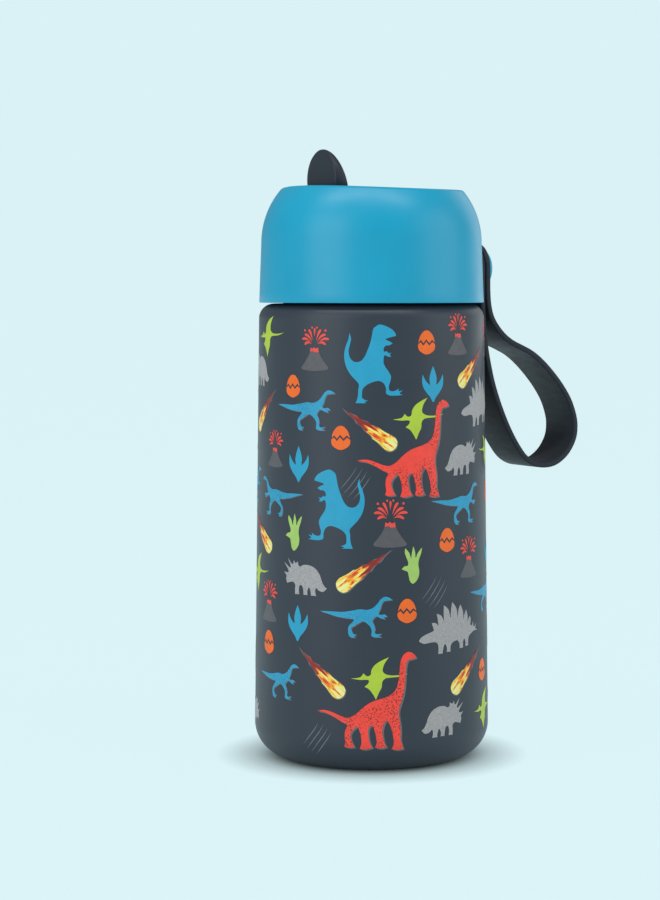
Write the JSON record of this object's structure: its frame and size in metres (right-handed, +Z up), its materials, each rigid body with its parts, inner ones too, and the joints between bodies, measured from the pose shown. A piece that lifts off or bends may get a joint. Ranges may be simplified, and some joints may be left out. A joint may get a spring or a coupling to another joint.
{
  "type": "insulated kids water bottle",
  "caption": "Double-walled steel drinking bottle with a domed screw lid, a flip-up straw spout with a round thumb tab and a silicone carry loop on a button.",
  "frame": {"origin": "on the bottle's axis, at the flat face it stands on", "axes": "+Z up along the bottle's axis, +X to the strap at the back, -X to the side that is drunk from"},
  "size_m": [0.1112, 0.074, 0.1912],
  "materials": {
    "painted_shell": "matt charcoal powder coat with a colour print",
    "steel": "satin",
    "blue_plastic": "smooth satin polypropylene",
    "charcoal_plastic": "satin polypropylene",
    "charcoal_silicone": "soft matt silicone",
    "clear_silicone": "translucent silicone",
    "clear_plastic": "clear polypropylene tube",
    "ceramic_dark": "dull grey"
  },
  "bodies": {
    "flask": {"outer_shell": "painted_shell", "outer_base": "steel", "base_cover": "steel", "vacuum_seal": "ceramic_dark", "inner_liner": "steel", "liner_base": "steel", "getter": "ceramic_dark", "getter_holder": "steel"},
    "gasket": {"lid_gasket": "clear_silicone"},
    "lid": {"lid_cover": "blue_plastic", "lid_inner_cap": "charcoal_plastic", "vent_valve": "clear_silicone", "spout_seal": "clear_silicone", "straw_socket": "charcoal_plastic", "straw": "clear_plastic", "pivot_pin_left": "steel", "pivot_pin_right": "steel", "strap_button": "blue_plastic", "button_retainer": "steel"},
    "spout": {"spout_body": "charcoal_plastic", "mouthpiece": "charcoal_silicone"},
    "strap": {"strap": "charcoal_silicone"}
  },
  "joints": [
    {"name": "lid_lift", "type": "slide", "parent": "flask", "child": "gasket", "axis": [0, 0, 1], "range_m": [0, 0.15]},
    {"name": "lid_turn", "type": "hinge", "parent": "gasket", "child": "lid", "pos_m": [0, 0, 0.16], "axis": [0, 0, 1], "range_deg": [0, 450]},
    {"name": "spout_flip", "type": "hinge", "parent": "lid", "child": "spout", "pos_m": [0.004, 0, 0.168], "axis": [0, 1, 0], "range_deg": [0, 90]},
    {"name": "strap_swing", "type": "hinge", "parent": "lid", "child": "strap", "pos_m": [0.0379, 0, 0.154], "axis": [1, 0, 0], "range_deg": [-110, 110]}
  ]
}
